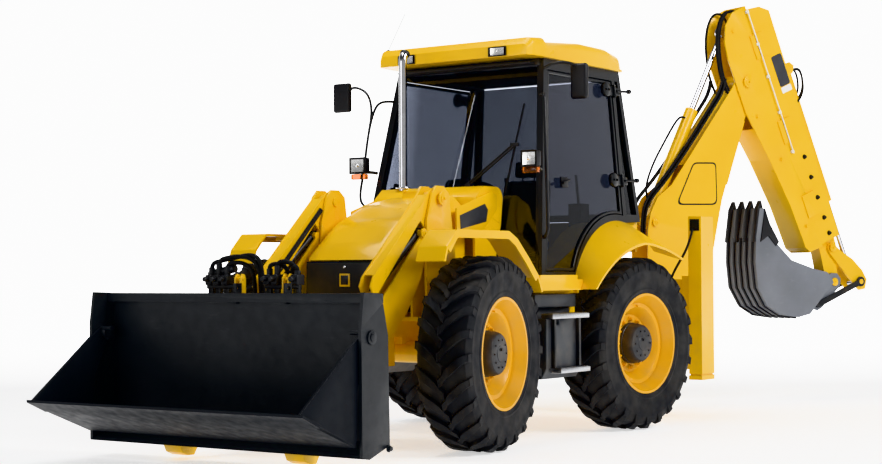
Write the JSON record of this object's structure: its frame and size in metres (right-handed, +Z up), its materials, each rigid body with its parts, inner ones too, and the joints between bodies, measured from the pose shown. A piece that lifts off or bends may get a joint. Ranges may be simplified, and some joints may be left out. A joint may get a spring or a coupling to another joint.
{
  "type": "backhoe loader",
  "caption": "Wheeled backhoe loader with a front shovel on lifting arms, a closed cab, equal-size steered wheels and a slewing digging arm at the rear.",
  "frame": {"origin": "on the ground below the middle of the rear axle", "axes": "+X forwards, +Y to the machine's left, +Z up"},
  "size_m": [9.0793, 2.6272, 3.9373],
  "materials": {
    "yellow_paint": "gloss",
    "black_paint": "satin",
    "shovel_paint": "satin",
    "bucket_paint": "satin",
    "grey_tank": "satin",
    "tyre_rubber": "matte",
    "tinted_glass": "gloss",
    "black_plastic": "matte",
    "chromed_steel": "polished",
    "bright_steel": "satin",
    "cast_engine": "matte",
    "seat_fabric": "matte",
    "lamp_glass": "gloss"
  },
  "bodies": {
    "chassis": {"main_frame": "yellow_paint", "axles": "yellow_paint", "rear_frame": "yellow_paint", "engine_block": "cast_engine", "grille": "black_plastic", "mudguards": "yellow_paint", "cab_frame": "black_paint", "cab_base": "yellow_paint", "cab_roof": "yellow_paint", "cab_glass": "tinted_glass", "seat": "seat_fabric", "steering_wheel": "black_plastic", "consoles": "black_plastic", "side_tanks": "grey_tank", "steps": "bright_steel", "exhaust_stack": "chromed_steel", "roof_lamps": "lamp_glass", "mirrors": "black_plastic"},
    "bonnet": {"bonnet": "yellow_paint"},
    "left_door": {"left_door": "black_paint", "left_door_glass": "tinted_glass"},
    "right_door": {"right_door": "black_paint", "right_door_glass": "tinted_glass"},
    "left_leg": {"left_stabiliser_leg": "yellow_paint"},
    "right_leg": {"right_stabiliser_leg": "yellow_paint"},
    "carriage": {"sideshift_carriage": "yellow_paint"},
    "kingpost": {"kingpost": "yellow_paint"},
    "boom": {"boom": "yellow_paint"},
    "dipper": {"dipper": "yellow_paint"},
    "dipper_extension": {"dipper_extension": "yellow_paint"},
    "digging_bucket": {"digging_bucket": "bucket_paint"},
    "tipping_lever": {"tipping_lever": "yellow_paint"},
    "tipping_link": {"tipping_link": "black_paint"},
    "loader_arms": {"loader_arms": "yellow_paint"},
    "shovel": {"shovel": "shovel_paint"},
    "shovel_clam": {"shovel_clam": "shovel_paint"},
    "bell_cranks": {"bell_cranks": "yellow_paint"},
    "shovel_links": {"shovel_links": "yellow_paint"},
    "boom_ram_barrel": {"boom_ram_barrel": "yellow_paint"},
    "boom_ram_rod": {"boom_ram_rod": "chromed_steel"},
    "dipper_ram_barrel": {"dipper_ram_barrel": "yellow_paint"},
    "dipper_ram_rod": {"dipper_ram_rod": "chromed_steel"},
    "crowd_ram_barrel": {"crowd_ram_barrel": "yellow_paint"},
    "crowd_ram_rod": {"crowd_ram_rod": "chromed_steel"},
    "lift_ram_barrels": {"lift_ram_barrels": "yellow_paint"},
    "lift_ram_rods": {"lift_ram_rods": "chromed_steel"},
    "tilt_ram_barrels": {"tilt_ram_barrels": "black_paint"},
    "tilt_ram_rods": {"tilt_ram_rods": "chromed_steel"},
    "front_left_carrier": {"front_left_knuckle": "black_paint"},
    "front_left_wheel": {"front_left_tyre": "tyre_rubber", "front_left_rim": "yellow_paint"},
    "front_right_carrier": {"front_right_knuckle": "black_paint"},
    "front_right_wheel": {"front_right_tyre": "tyre_rubber", "front_right_rim": "yellow_paint"},
    "rear_left_carrier": {"rear_left_knuckle": "black_paint"},
    "rear_left_wheel": {"rear_left_tyre": "tyre_rubber", "rear_left_rim": "yellow_paint"},
    "rear_right_carrier": {"rear_right_knuckle": "black_paint"},
    "rear_right_wheel": {"rear_right_tyre": "tyre_rubber", "rear_right_rim": "yellow_paint"}
  },
  "joints": [
    {"name": "front_left_steer", "type": "hinge", "parent": "chassis", "child": "front_left_carrier", "pos_m": [2.22, 0.88, 0.715], "axis": [0, 0, 1], "range_deg": [-26, 8]},
    {"name": "front_left_spin", "type": "hinge", "parent": "front_left_carrier", "child": "front_left_wheel", "pos_m": [2.2067, 0.96395, 0.715], "axis": [-0.1564, 0.9877, 0], "continuous": true},
    {"name": "front_right_steer", "type": "hinge", "parent": "chassis", "child": "front_right_carrier", "pos_m": [2.22, -0.88, 0.715], "axis": [0, 0, 1], "range_deg": [-26, 8]},
    {"name": "front_right_spin", "type": "hinge", "parent": "front_right_carrier", "child": "front_right_wheel", "pos_m": [2.2333, -0.96395, 0.715], "axis": [-0.1564, 0.9877, 0], "continuous": true},
    {"name": "rear_left_steer", "type": "hinge", "parent": "chassis", "child": "rear_left_carrier", "pos_m": [0, 0.88, 0.715], "axis": [0, 0, 1], "range_deg": [-11, 23]},
    {"name": "rear_left_spin", "type": "hinge", "parent": "rear_left_carrier", "child": "rear_left_wheel", "pos_m": [0.00889, 0.96453, 0.715], "axis": [0.1045, 0.9945, 0], "continuous": true},
    {"name": "rear_right_steer", "type": "hinge", "parent": "chassis", "child": "rear_right_carrier", "pos_m": [0, -0.88, 0.715], "axis": [0, 0, 1], "range_deg": [-11, 23]},
    {"name": "rear_right_spin", "type": "hinge", "parent": "rear_right_carrier", "child": "rear_right_wheel", "pos_m": [-0.00889, -0.96453, 0.715], "axis": [0.1045, 0.9945, 0], "continuous": true},
    {"name": "left_door_hinge", "type": "hinge", "parent": "chassis", "child": "left_door", "pos_m": [-0.165, 0.811, 2.3], "axis": [0, -0.1035, 0.9946], "range_deg": [0, 80]},
    {"name": "right_door_hinge", "type": "hinge", "parent": "chassis", "child": "right_door", "pos_m": [-0.165, -0.811, 2.3], "axis": [0, -0.1035, -0.9946], "range_deg": [0, 80]},
    {"name": "bonnet_hinge", "type": "hinge", "parent": "chassis", "child": "bonnet", "pos_m": [1.585, 0, 1.95], "axis": [0, -1, 0], "range_deg": [0, 50]},
    {"name": "left_leg_slide", "type": "slide", "parent": "chassis", "child": "left_leg", "axis": [0, 0, -1], "range_m": [0, 0.55]},
    {"name": "right_leg_slide", "type": "slide", "parent": "chassis", "child": "right_leg", "axis": [0, 0, -1], "range_m": [0, 0.55]},
    {"name": "sideshift", "type": "slide", "parent": "chassis", "child": "carriage", "axis": [0, 1, 0], "range_m": [-0.55, 0.55]},
    {"name": "backhoe_slew", "type": "hinge", "parent": "carriage", "child": "kingpost", "pos_m": [-1.68, 0, 0.8], "axis": [0, 0, 1], "range_deg": [-66, 114]},
    {"name": "boom_lift", "type": "hinge", "parent": "kingpost", "child": "boom", "pos_m": [-2.06369, 0.17083, 1.05], "axis": [0.4067, 0.9135, 0], "range_deg": [-97, 6]},
    {"name": "boom_ram_pivot", "type": "hinge", "parent": "kingpost", "child": "boom_ram_barrel", "pos_m": [-2.08196, 0.17896, 0.75], "axis": [0.4067, 0.9135, 0], "range_deg": [-87.31, 5.41]},
    {"name": "boom_ram_slide", "type": "slide", "parent": "boom_ram_barrel", "child": "boom_ram_rod", "axis": [-0.4464, 0.1987, 0.8725], "range_m": [-0.425, 0.028]},
    {"name": "dipper_swing", "type": "hinge", "parent": "boom", "child": "dipper", "pos_m": [-2.97723, 0.57757, 3.18], "axis": [0.4067, 0.9135, 0], "range_deg": [-8, 100]},
    {"name": "dipper_ram_pivot", "type": "hinge", "parent": "boom", "child": "dipper_ram_barrel", "pos_m": [-1.93579, 0.11389, 1.78], "axis": [0.4067, 0.9135, 0], "range_deg": [-0.09, 1.01]},
    {"name": "dipper_ram_slide", "type": "slide", "parent": "dipper_ram_barrel", "child": "dipper_ram_rod", "axis": [-0.4103, 0.1827, 0.8935], "range_m": [-0.804, 0.066]},
    {"name": "dipper_extend", "type": "slide", "parent": "dipper", "child": "dipper_extension", "axis": [-0.357, 0.1589, -0.9205], "range_m": [0, 1.2]},
    {"name": "bucket_curl", "type": "hinge", "parent": "dipper_extension", "child": "digging_bucket", "pos_m": [-4.05608, 1.0579, 1.19894], "axis": [0.4067, 0.9135, 0], "range_deg": [-5, 150]},
    {"name": "tipping_lever_pivot", "type": "hinge", "parent": "dipper_extension", "child": "tipping_lever", "pos_m": [-4.02648, 1.04472, 1.54912], "axis": [0.4067, 0.9135, 0], "range_deg": [-2.67, 79.51]},
    {"name": "tipping_link_pivot", "type": "hinge", "parent": "tipping_lever", "child": "tipping_link", "pos_m": [-4.37504, 1.19991, 1.20049], "axis": [0.4067, 0.9135, 0], "range_deg": [-15.01, 0.51]},
    {"name": "crowd_ram_pivot", "type": "hinge", "parent": "dipper_extension", "child": "crowd_ram_barrel", "pos_m": [-3.54041, 0.82831, 3.36563], "axis": [0.4067, 0.9135, 0], "range_deg": [-0.33, 9.61]},
    {"name": "crowd_ram_slide", "type": "slide", "parent": "crowd_ram_barrel", "child": "crowd_ram_rod", "axis": [-0.3552, 0.1581, -0.9213], "range_m": [-0.543, 0.02]},
    {"name": "loader_lift", "type": "hinge", "parent": "chassis", "child": "loader_arms", "pos_m": [2.17, 0, 1.86], "axis": [0, -1, 0], "range_deg": [-2.7, 92]},
    {"name": "lift_ram_pivot", "type": "hinge", "parent": "chassis", "child": "lift_ram_barrels", "pos_m": [2.2, 0, 1.52], "axis": [0, -1, 0], "range_deg": [-2.88, 97.54]},
    {"name": "lift_ram_slide", "type": "slide", "parent": "lift_ram_barrels", "child": "lift_ram_rods", "axis": [0.7071, 0, -0.7071], "range_m": [-0.016, 0.483]},
    {"name": "shovel_tilt", "type": "hinge", "parent": "loader_arms", "child": "shovel", "pos_m": [3.59, 0, 0.165], "axis": [0, 1, 0], "range_deg": [-30, 85]},
    {"name": "bell_crank_pivot", "type": "hinge", "parent": "loader_arms", "child": "bell_cranks", "pos_m": [3.02, 0, 0.76], "axis": [0, 1, 0], "range_deg": [-30.01, 85.01]},
    {"name": "shovel_link_pivot", "type": "hinge", "parent": "bell_cranks", "child": "shovel_links", "pos_m": [3.005, 0, 1], "axis": [0, 1, 0], "range_deg": [-85.01, 30.01]},
    {"name": "tilt_ram_pivot", "type": "hinge", "parent": "loader_arms", "child": "tilt_ram_barrels", "pos_m": [2.37, 0, 1.6], "axis": [0, 1, 0], "range_deg": [-4.26, 1.51]},
    {"name": "tilt_ram_slide", "type": "slide", "parent": "tilt_ram_barrels", "child": "tilt_ram_rods", "axis": [0.7833, 0, -0.6217], "range_m": [-0.132, 0.372]},
    {"name": "clam_open", "type": "hinge", "parent": "shovel", "child": "shovel_clam", "pos_m": [3.87, 0, 0.89], "axis": [0, -1, 0], "range_deg": [0, 60]}
  ],
  "couplings": [
    {"joint": "front_right_steer", "follows": "front_left_steer", "ratio": 1},
    {"joint": "rear_right_steer", "follows": "rear_left_steer", "ratio": 1},
    {"joint": "boom_ram_pivot", "follows": "boom_lift", "ratio": 0.9},
    {"joint": "boom_ram_slide", "follows": "boom_lift", "m_per_rad": 0.25},
    {"joint": "dipper_ram_pivot", "follows": "dipper_swing", "ratio": 0.01},
    {"joint": "dipper_ram_slide", "follows": "dipper_swing", "m_per_rad": -0.46},
    {"joint": "tipping_lever_pivot", "follows": "bucket_curl", "ratio": 0.53},
    {"joint": "tipping_link_pivot", "follows": "bucket_curl", "ratio": -0.1},
    {"joint": "crowd_ram_pivot", "follows": "bucket_curl", "ratio": 0.064},
    {"joint": "crowd_ram_slide", "follows": "bucket_curl", "m_per_rad": -0.207},
    {"joint": "lift_ram_pivot", "follows": "loader_lift", "ratio": 1.06},
    {"joint": "lift_ram_slide", "follows": "loader_lift", "m_per_rad": 0.3},
    {"joint": "bell_crank_pivot", "follows": "shovel_tilt", "ratio": 1},
    {"joint": "shovel_link_pivot", "follows": "shovel_tilt", "ratio": -1},
    {"joint": "tilt_ram_pivot", "follows": "shovel_tilt", "ratio": -0.05},
    {"joint": "tilt_ram_slide", "follows": "shovel_tilt", "m_per_rad": 0.25}
  ]
}
